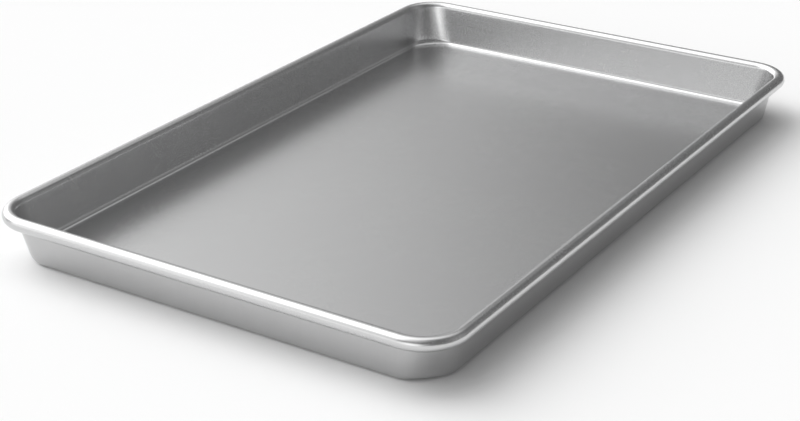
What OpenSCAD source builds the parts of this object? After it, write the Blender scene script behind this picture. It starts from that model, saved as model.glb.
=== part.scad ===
// Jelly roll pan: a shallow oblong baking pan drawn from one metal sheet, with upright walls,
// rounded corners and a wired rim, which is the sheet's edge curled outward round a loop of wire.
// The origin is the centre of the underside. X runs across the pan, Y along it and Z up.

/* [Pan] */
// Width across the outside of the rim
pan_width = 270; // [200:1:340]
// Length along the outside of the rim
pan_length = 421; // [300:1:520]
// Height from the underside to the top of the rim
pan_height = 27.5; // [22:0.5:60]

/* [Sheet] */
// Thickness of the sheet
sheet = 0.9; // [0.6:0.1:1.5]
// How much further in the walls stand at the floor than at the rim
wall_taper = 2.3; // [0:0.1:4]
// Outer radius of the bend between floor and wall
floor_bend_r = 3.5; // [2:0.5:9]

/* [Corners] */
// Outer radius of the rim's corners, seen from above
rim_corner_r = 24; // [16:1:36]
// How much further in the walls' corners are centred than the rim's
corner_set_in = 6; // [0:1:16]

/* [Rim] */
// Diameter of the wire inside the rim
wire_d = 5; // [2.4:0.1:6]
// Space between the wire and the curled sheet
wire_clearance = 0.1; // [0.05:0.05:0.3]
// Space between the curled sheet's raw edge and the wall
curl_edge_gap = 0.4; // [0.2:0.1:1]
// Space between the two ends of the wire
wire_end_gap = 1.5; // [0.5:0.5:5]

/* [Hidden] */
$fn = 96;
// Outer radius of the curl, and the height of its centre, which lies that radius in from the rim
curl_r = wire_d / 2 + wire_clearance + sheet;
curl_z = pan_height - curl_r;
// Outer face of the walls at the rim and at the floor bend, and the edge of the flat floor, all
// measured in from the rim's outer edge
wall_top_in = 2 * curl_r - sheet;
wall_base_in = wall_top_in + wall_taper;
floor_in = wall_base_in + floor_bend_r;
// Plan centres of the corners, measured in from the rim's outer edge
rim_corner_in = rim_corner_r;
wall_corner_in = rim_corner_r + corner_set_in;
// Direction of the curl's raw edge from its centre, which leaves the gap to the wall
edge_angle = -acos(-(curl_r - sheet - curl_edge_gap) / curl_r);

// Sections are drawn with X = 0 at the rim's outer edge and X negative towards the inside.

// The sheet bent full circle, with its centre at the origin
module ring(outer_r) {
    difference() {
        circle(r = outer_r);
        circle(r = outer_r - sheet);
    }
}

// Wall section: the floor bend, the wall and the first quarter of the curl
module wall_section() {
    translate([-floor_in, floor_bend_r])
        intersection() {
            ring(floor_bend_r);
            translate([0, -floor_bend_r])
                square(floor_bend_r);
        }
    polygon([
        [-wall_base_in, floor_bend_r],
        [-wall_top_in, curl_z],
        [-wall_top_in - sheet, curl_z],
        [-wall_base_in - sheet, floor_bend_r]
    ]);
    translate([-curl_r, curl_z])
        intersection() {
            ring(curl_r);
            translate([-curl_r, 0])
                square(curl_r);
        }
}

// Rest of the curl, from the top of the rim out, down and under to its raw edge
module curl_section() {
    reach = 2 * curl_r;
    translate([-curl_r, curl_z])
        difference() {
            ring(curl_r);
            polygon([
                [0, 0],
                [0, reach],
                [-reach, reach],
                [-reach, 0],
                reach * [cos(edge_angle), sin(edge_angle)]
            ]);
        }
}

// Rounded oblong that lies a distance in from the rim, with the corners centred at corner_in
module oblong(inset, corner_in) {
    r = corner_in - inset;
    x = pan_width / 2 - corner_in;
    y = pan_length / 2 - corner_in;
    square([2 * (x + r), 2 * y], center = true);
    square([2 * x, 2 * (y + r)], center = true);
    for (sx = [-1, 1], sy = [-1, 1])
        translate([sx * x, sy * y])
            circle(r = r);
}

// Sweeps a section all the way round, with the corners centred at corner_in
module all_round(corner_in) {
    x = pan_width / 2;
    y = pan_length / 2;
    sides = [[0, x, y], [90, y, x], [180, x, y], [270, y, x]];
    for (s = sides)
        rotate([0, 0, s[0]]) {
            translate([s[1], 0, 0])
                rotate([90, 0, 0])
                    linear_extrude(height = 2 * (s[2] - corner_in), center = true)
                        children();
            translate([s[1] - corner_in, s[2] - corner_in, 0])
                rotate_extrude(angle = 90)
                    translate([corner_in, 0])
                        children();
        }
}

// The pan itself: floor, walls, the flat web at each corner and the curl, all one sheet
module pan_shell() {
    color("silver") {
        linear_extrude(height = sheet)
            oblong(floor_in, wall_corner_in);
        all_round(wall_corner_in)
            wall_section();
        translate([0, 0, pan_height - sheet])
            linear_extrude(height = sheet)
                difference() {
                    oblong(curl_r, rim_corner_in);
                    oblong(curl_r, wall_corner_in);
                }
        all_round(rim_corner_in)
            curl_section();
    }
}

// Loop of wire inside the rim, with its ends butted halfway along one long side
module rim_wire() {
    color("slategray")
        difference() {
            all_round(rim_corner_in)
                translate([-curl_r, curl_z])
                    circle(d = wire_d);
            translate([-pan_width / 2 + curl_r, 0, curl_z])
                cube([2 * wire_d, wire_end_gap, 2 * wire_d], center = true);
        }
}

pan_shell();
rim_wire();
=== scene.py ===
"""Jelly roll pan on a white studio floor, seen from above one corner."""
import math

import bmesh
import bpy
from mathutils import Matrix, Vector


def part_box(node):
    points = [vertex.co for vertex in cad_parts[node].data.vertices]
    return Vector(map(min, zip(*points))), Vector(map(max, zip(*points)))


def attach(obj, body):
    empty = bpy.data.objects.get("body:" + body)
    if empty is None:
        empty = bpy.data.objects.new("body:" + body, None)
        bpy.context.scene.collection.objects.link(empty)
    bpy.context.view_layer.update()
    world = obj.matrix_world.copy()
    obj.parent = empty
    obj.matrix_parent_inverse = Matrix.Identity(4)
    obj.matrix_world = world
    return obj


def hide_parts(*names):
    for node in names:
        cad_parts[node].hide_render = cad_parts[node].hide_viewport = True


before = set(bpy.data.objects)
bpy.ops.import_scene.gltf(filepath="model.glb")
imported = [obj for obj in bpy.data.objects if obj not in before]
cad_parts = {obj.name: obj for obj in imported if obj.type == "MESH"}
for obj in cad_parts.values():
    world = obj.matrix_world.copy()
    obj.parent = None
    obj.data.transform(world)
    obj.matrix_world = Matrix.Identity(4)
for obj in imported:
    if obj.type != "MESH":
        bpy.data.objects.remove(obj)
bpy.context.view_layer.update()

# Pan sheet
# The pan is one sheet of satin aluminium. A press draws it to a flat floor and upright walls with
# rounded corners, and its edge is then curled out and under, round a wire, to make the rim.

# The mesh is drawn as the sheet's upper face, which is the inside of the pan and the outside of
# the curl. Sizes are in metres, and those named _in are measured in from the rim's outer edge.
half_width, half_length, rim_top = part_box("pan_shell")[1]
sheet_thickness = 0.0009
raw_edge_gap = 0.0004
curl_radius = 0.0035
floor_edge_in = 0.0119
floor_bend_radius = 0.0026
# The bend opens out by this much towards the middle of each corner.
corner_bend_extra = 0.002
rim_corner_in = 0.024
# The floor's corner is flatter in its middle third. Both radii reach out to the rim's edge.
end_radius, middle_radius = 0.0262, 0.036

floor_edge = Vector((half_width - floor_edge_in, 0, sheet_thickness))
bend_centre = floor_edge + Vector((0, 0, floor_bend_radius))
curl_centre = Vector((half_width - curl_radius, 0, rim_top - curl_radius))
# The wall runs straight from the floor bend to the curl, and touches both without a kink.
across = curl_centre - bend_centre
wall_lean = math.atan2(across.x, across.z) - math.asin((floor_bend_radius + curl_radius)
                                                       / across.length)
wall_top = curl_centre + curl_radius * Vector((-math.cos(wall_lean), 0, math.sin(wall_lean)))
# The curl turns on past straight down until its raw edge almost meets the wall again.
curl_turn = math.pi - wall_lean + math.acos((sheet_thickness + raw_edge_gap - curl_radius)
                                            / curl_radius)

third = math.radians(30)
floor_corner_in = (end_radius * (1 + math.sin(third) - math.sin(2 * third))
                   + middle_radius * (math.sin(2 * third) - math.sin(third)))
shift = middle_radius - end_radius
first_centre = Vector((half_width - end_radius, half_length - floor_corner_in, 0))
middle_centre = first_centre - shift * Vector((math.cos(third), math.sin(third), 0))
last_centre = middle_centre + shift * Vector((math.cos(2 * third), math.sin(2 * third), 0))
floor_corner_centres = first_centre, middle_centre, last_centre

# How finely each stretch is divided. The floor's corner and the rim's have as many steps in all.
long_steps, short_steps = 30, 16
floor_corner_steps = 13, 8, 13
rim_lead_steps, rim_corner_steps = 5, 24
bend_steps, wall_cuts, curl_steps = 14, 8, 48
# Points closer than this are one point, and edges sharper than this stay creased.
near = 1e-5
crease_angle = math.radians(30)


def point_at(name, place):
    """A new mesh of one vertex, left selected in edit mode."""
    bpy.ops.object.select_all(action="DESELECT")
    bpy.ops.mesh.primitive_plane_add(size=0.01)
    piece = bpy.context.object
    piece.name = piece.data.name = name
    bpy.ops.object.mode_set(mode="EDIT")
    bpy.ops.mesh.select_mode(type="VERT")
    bpy.ops.mesh.merge(type="CENTER")
    bpy.ops.transform.translate(value=place)
    return piece


def draw_line(move, steps):
    """Extrudes what is selected along a straight move."""
    for _ in range(steps):
        bpy.ops.mesh.extrude_region_move(TRANSFORM_OT_translate={"value": Vector(move) / steps})


def draw_arc(centre, angle, steps, axis):
    """Extrudes what is selected round a centre, right-handed about the axis."""
    bpy.ops.mesh.spin(steps=steps, angle=-angle, center=centre, axis=axis)


def draw_quarter(draw_corner):
    """Sweeps the selected section from mid side round one corner to mid end."""
    draw_line((0, half_length - floor_corner_in, 0), long_steps)
    draw_corner()
    draw_line((floor_corner_in - half_width, 0, 0), short_steps)


def draw_floor_corner():
    """The corner in three arcs, each of which goes on where the last one ends."""
    for centre, steps in zip(floor_corner_centres, floor_corner_steps):
        draw_arc(centre, third, steps, (0, 0, 1))


def draw_rim_corner():
    """The corner in one arc, which starts later than the floor's and ends sooner."""
    lead = floor_corner_in - rim_corner_in
    draw_line((0, lead, 0), rim_lead_steps)
    draw_arc((half_width - rim_corner_in, half_length - rim_corner_in, 0), math.pi / 2,
             rim_corner_steps, (0, 0, 1))
    draw_line((-lead, 0, 0), rim_lead_steps)


def corner_turn(place):
    """How far round the floor's corner a place lies, which is 0 on the straight sides."""
    slack = 0.0001
    for number, centre in enumerate(floor_corner_centres):
        turn = math.atan2(place.y - centre.y, place.x - centre.x)
        if number - slack < turn / third < number + 1 + slack:
            return turn
    return 0


def bend_extra(place):
    """How much larger the bend's radius is at a place than on the straight sides."""
    return corner_bend_extra * math.sin(2 * corner_turn(place)) ** 2


def open_out_corner(piece):
    """Opens out the swept bend's corner, so that it still ends on the same wall."""
    for vertex in piece.data.vertices:
        turn, extra = corner_turn(vertex.co), bend_extra(vertex.co)
        bent = math.acos(min(1, 1 - (vertex.co.z - sheet_thickness) / floor_bend_radius))
        out = extra * (math.sin(bent) - (1 - math.sin(wall_lean)) / math.cos(wall_lean))
        vertex.co += Vector((out * math.cos(turn), out * math.sin(turn),
                             extra * (1 - math.cos(bent))))


def on_bend_top(place):
    """Whether a place is on the bend's upper edge."""
    radius = floor_bend_radius + bend_extra(place)
    return abs(place.z - sheet_thickness - radius * (1 - math.sin(wall_lean))) < near


def select_open_edges(piece, test):
    """Selects the open edges whose two ends both pass a test of their place."""
    bpy.ops.mesh.select_mode(type="EDGE")
    bpy.ops.mesh.select_all(action="DESELECT")
    shape = bmesh.from_edit_mesh(piece.data)
    for edge in shape.edges:
        edge.select = edge.is_boundary and all(test(v.co) for v in edge.verts)
    shape.select_flush_mode()
    bmesh.update_edit_mesh(piece.data)


# Floor bend
pan = point_at("pan_sheet", floor_edge)
draw_arc(bend_centre, wall_lean - math.pi / 2, bend_steps, (0, 1, 0))
bpy.ops.mesh.select_all(action="SELECT")
draw_quarter(draw_floor_corner)
bpy.ops.object.mode_set(mode="OBJECT")
open_out_corner(pan)

# Curl, whose corners are tighter than the floor's
point_at("pan_curl", wall_top)
draw_arc(curl_centre, curl_turn, curl_steps, (0, 1, 0))
bpy.ops.mesh.select_all(action="SELECT")
draw_quarter(draw_rim_corner)
bpy.ops.object.mode_set(mode="OBJECT")

# Wall between the two, which leans out most at the corner
pan.select_set(True)
bpy.context.view_layer.objects.active = pan
bpy.ops.object.join()
bpy.ops.object.mode_set(mode="EDIT")
select_open_edges(pan, lambda p: on_bend_top(p) or abs(p.z - wall_top.z) < near)
bpy.ops.mesh.bridge_edge_loops(type="SINGLE", number_cuts=wall_cuts, interpolation="LINEAR")
bpy.ops.mesh.select_all(action="SELECT")
bpy.ops.mesh.remove_doubles(threshold=near)
bpy.ops.object.mode_set(mode="OBJECT")

mirror = pan.modifiers.new("other_quarters", "MIRROR")
mirror.use_axis = (True, True, False)
mirror.merge_threshold = near
bpy.ops.object.modifier_apply(modifier=mirror.name)

# Flat floor, with a narrow band along its edge that keeps the bend's shading off it
edge_band = 0.003
bpy.ops.object.mode_set(mode="EDIT")
bpy.ops.mesh.select_all(action="SELECT")
bpy.ops.mesh.remove_doubles(threshold=near)
select_open_edges(pan, lambda p: p.z < sheet_thickness + near)
bpy.ops.mesh.edge_face_add()
bpy.ops.mesh.inset(thickness=edge_band)
bpy.ops.mesh.select_all(action="SELECT")
bpy.ops.mesh.normals_make_consistent(inside=False)
bpy.ops.object.mode_set(mode="OBJECT")
floor_face = max(pan.data.polygons, key=lambda face: face.area)
if floor_face.normal.z < 0:
    pan.data.flip_normals()

# The thickness of the sheet, with one slot for its upper face and one for the rest
bpy.ops.object.material_slot_add()
bpy.ops.object.material_slot_add()
sheet = pan.modifiers.new("sheet", "SOLIDIFY")
sheet.thickness = sheet_thickness
sheet.offset = -1
sheet.use_even_offset = True
sheet.use_quality_normals = True
sheet.material_offset = 1
sheet.material_offset_rim = 1
bpy.ops.object.modifier_apply(modifier=sheet.name)
bpy.ops.object.shade_smooth_by_angle(angle=crease_angle)


class Shade:
    """A node tree, or an output in it, that takes part in expressions."""

    def __init__(self, tree, socket=None):
        self.tree, self.socket = tree, socket

    def node(self, kind, inputs=None, output=0, **settings):
        """Adds a node, with its settings made before its sockets are filled."""
        made = self.tree.nodes.new("ShaderNode" + kind)
        for name, value in settings.items():
            setattr(made, name, value)
        for name, value in (inputs or {}).items():
            if isinstance(value, Shade):
                self.tree.links.new(value.socket, made.inputs[name])
            else:
                made.inputs[name].default_value = value
        return Shade(self.tree, made.outputs[output]) if made.outputs else made

    def math(self, operation, first, second):
        return self.node("Math", {0: first, 1: second}, operation=operation)

    def __add__(self, other):
        return self.math("ADD", self, other)

    def __sub__(self, other):
        return self.math("SUBTRACT", self, other)

    def __rsub__(self, other):
        return self.math("SUBTRACT", other, self)

    def __mul__(self, other):
        return self.math("MULTIPLY", self, other)

    __radd__, __rmul__ = __add__, __mul__

    def tinted(self, green, blue):
        """This tone as a colour, with its green and blue so many times its red."""
        return self.node("CombineColor", {"Red": self, "Green": self * green,
                                          "Blue": self * blue})

    def grain(self, scale, detail=2.0, rough=0.5, stretch=(1, 1, 1)):
        """Noise over this place, with features of about 1 / scale metres."""
        place = self.node("Mapping", {"Vector": self, "Scale": stretch})
        return self.node("TexNoise", {"Vector": place, "Scale": scale, "Detail": detail,
                                      "Roughness": rough})


def finish(name):
    """A new, empty material, and the start of its expressions."""
    material = bpy.data.materials.new(name)
    material.use_nodes = True
    material.node_tree.nodes.clear()
    return material, Shade(material.node_tree)


satin, shade = finish("satin_aluminium")
place = shade.node("TexCoord", output="Object")
tooth = place.grain(2200, detail=3.0, rough=0.65)
rolled = place.grain(700, detail=2.0, stretch=(1, 0.06, 1))
cloud = place.grain(14, detail=3.0, rough=0.6)
tone = 0.63 + 0.02 * (cloud - 0.5) + 0.03 * (tooth - 0.5) + 0.02 * (rolled - 0.5)
height = tooth * 0.7 + rolled * 0.3
bump = shade.node("Bump", {"Strength": 0.05, "Distance": 0.0001, "Height": height})
shine = shade.node("BsdfPrincipled", {
    "Base Color": tone.tinted(green=1.002, blue=1.006),
    "Metallic": 1.0,
    "Roughness": 0.27 + 0.03 * (tooth - 0.5) + 0.02 * (cloud - 0.5),
    "Normal": bump})
shade.node("OutputMaterial", {"Surface": shine})

# The die burnishes the outside smoother as the sheet is drawn past it, and leaves faint upright
# marks. Its darker tone is painted shade for the darker surroundings that it mirrors.
outside_painted_shade, shade = finish("outside_aluminium_painted_shade")
place = shade.node("TexCoord", output="Object")
tooth = place.grain(2200, detail=3.0, rough=0.65)
drawn = place.grain(900, detail=2.0, stretch=(1, 1, 0.04))
cloud = place.grain(14, detail=3.0, rough=0.6)
# The base tone, lower than the inside's, is painted shade; the noise on it is the metal's own
# grain and marks.
tone = 0.535 + 0.03 * (cloud - 0.5) + 0.03 * (tooth - 0.5) + 0.03 * (drawn - 0.5)
shine = shade.node("BsdfPrincipled", {
    "Base Color": tone.tinted(green=1.002, blue=1.006),
    "Metallic": 1.0,
    "Roughness": 0.15 + 0.03 * (tooth - 0.5) + 0.03 * (drawn - 0.5),
    "Normal": shade.node("Bump", {"Strength": 0.05, "Distance": 0.0001, "Height": tooth})})
shade.node("OutputMaterial", {"Surface": shine})

# The second slot, on the outside, carries the darker tone that is painted shade.
pan.material_slots[0].material, pan.material_slots[1].material = satin, outside_painted_shade
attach(pan, "root")
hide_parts("pan_shell")

# Rim wire
# A loop of zinc-coated steel wire lies inside the curl and stiffens the rim. It is bent round the
# pan before the edge is curled over it, with its two ends butted halfway along one long side.

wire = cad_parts["rim_wire"]
zinc, shade = finish("zinc_coated_wire")
place = shade.node("TexCoord", output="Object")
spangle = shade.node("TexVoronoi", {"Vector": place, "Scale": 900.0}, output="Distance")
drawn = place.grain(2500, stretch=(0.3, 0.3, 1))
tone = 0.47 + 0.08 * (spangle - 0.4) + 0.05 * (drawn - 0.5)
shine = shade.node("BsdfPrincipled", {
    "Base Color": tone.tinted(green=1.01, blue=1.03),
    "Metallic": 1.0,
    "Roughness": 0.38 + 0.2 * (spangle - 0.4),
    "Normal": shade.node("Bump", {"Strength": 0.2, "Distance": 0.0001, "Height": drawn})})
shade.node("OutputMaterial", {"Surface": shine})
wire.material_slots[0].material = zinc

# Floor
# The pan stands on a plain white studio floor of matt paper that runs out of view. The paper lies
# a hair below the pan, so that the two faces don't coincide.

floor_radius, floor_drop = 20, 0.0001
bpy.ops.object.select_all(action="DESELECT")
bpy.ops.mesh.primitive_circle_add(vertices=96, radius=floor_radius, fill_type="NGON",
                                  enter_editmode=True)
bpy.ops.transform.translate(value=(0, 0, -floor_drop))
bpy.ops.object.mode_set(mode="OBJECT")
ground = bpy.context.object
ground.name = ground.data.name = "studio_floor"
white, shade = finish("floor_white")
place = shade.node("TexCoord", output="Object")
pale = 0.955 + 0.01 * (place.grain(3) - 0.5)
shine = shade.node("BsdfPrincipled", {
    "Base Color": shade.node("CombineColor", {"Red": pale, "Green": pale, "Blue": pale}),
    "Roughness": 1.0,
    "Specular IOR Level": 0.0})
shade.node("OutputMaterial", {"Surface": shine})
ground.data.materials.append(white)

# Light
# The room is dim and evenly lit all round, with large soft lights to the left and overhead and
# low in front. Each is a patch of the world that fades out smoothly at its edge.

world = bpy.data.worlds.new("studio")
world.use_nodes = True
world.node_tree.nodes.clear()
bpy.context.scene.world = world
shade = Shade(world.node_tree)
toward = shade.node("TexCoord", output="Generated")
room_light = 0.19
patch_reach = math.radians(32)


def patch(azimuth, elevation, strength):
    """Light round one direction, full at its middle and gone at the patch's reach."""
    azimuth, elevation = math.radians(azimuth), math.radians(elevation)
    aim = (math.cos(azimuth) * math.cos(elevation), math.sin(azimuth) * math.cos(elevation),
           math.sin(elevation))
    facing = shade.node("VectorMath", {0: toward, 1: aim}, output="Value",
                        operation="DOT_PRODUCT")
    return shade.node("MapRange", {"Value": facing, "From Min": math.cos(patch_reach),
                                   "From Max": 1.0, "To Min": 0.0, "To Max": strength},
                      interpolation_type="SMOOTHSTEP")


# Azimuth in degrees from +X towards +Y, elevation in degrees, and strength.
patches = ((225, 6, 1.13), (270, 6, 1.36), (292.5, 6, 0.44), (24, 24, 0.16), (144, 24, 0.68),
           (168, 24, 1.98), (180, 44, 1.93), (210, 44, 1.29), (102.9, 66, 0.67),
           (154.3, 66, 0.67), (205.7, 66, 0.33), (257.1, 66, 0.46))
light = room_light + sum(patch(*values) for values in patches)
sky = shade.node("Background", {"Color": (1, 1, 1, 1), "Strength": light})
shade.node("OutputWorld", {"Surface": sky})

# Camera
# It looks down at the pan over its near right corner, with a long lens.

camera_target = Vector((0.01016, -0.04659, 0))
camera_azimuth, camera_elevation = math.radians(32.32), math.radians(24.49)
camera_distance = 0.94124
back = Vector((math.sin(camera_azimuth) * math.cos(camera_elevation),
               -math.cos(camera_azimuth) * math.cos(camera_elevation),
               math.sin(camera_elevation)))
camera_data = bpy.data.cameras.new("camera")
camera_data.sensor_width, camera_data.lens = 36, 78.41
camera = bpy.data.objects.new("camera", camera_data)
camera.location = camera_target + camera_distance * back
camera.rotation_euler = (-back).to_track_quat("-Z", "Y").to_euler()
bpy.context.scene.collection.objects.link(camera)
bpy.context.scene.camera = camera

bpy.context.scene.view_settings.view_transform = "Standard"
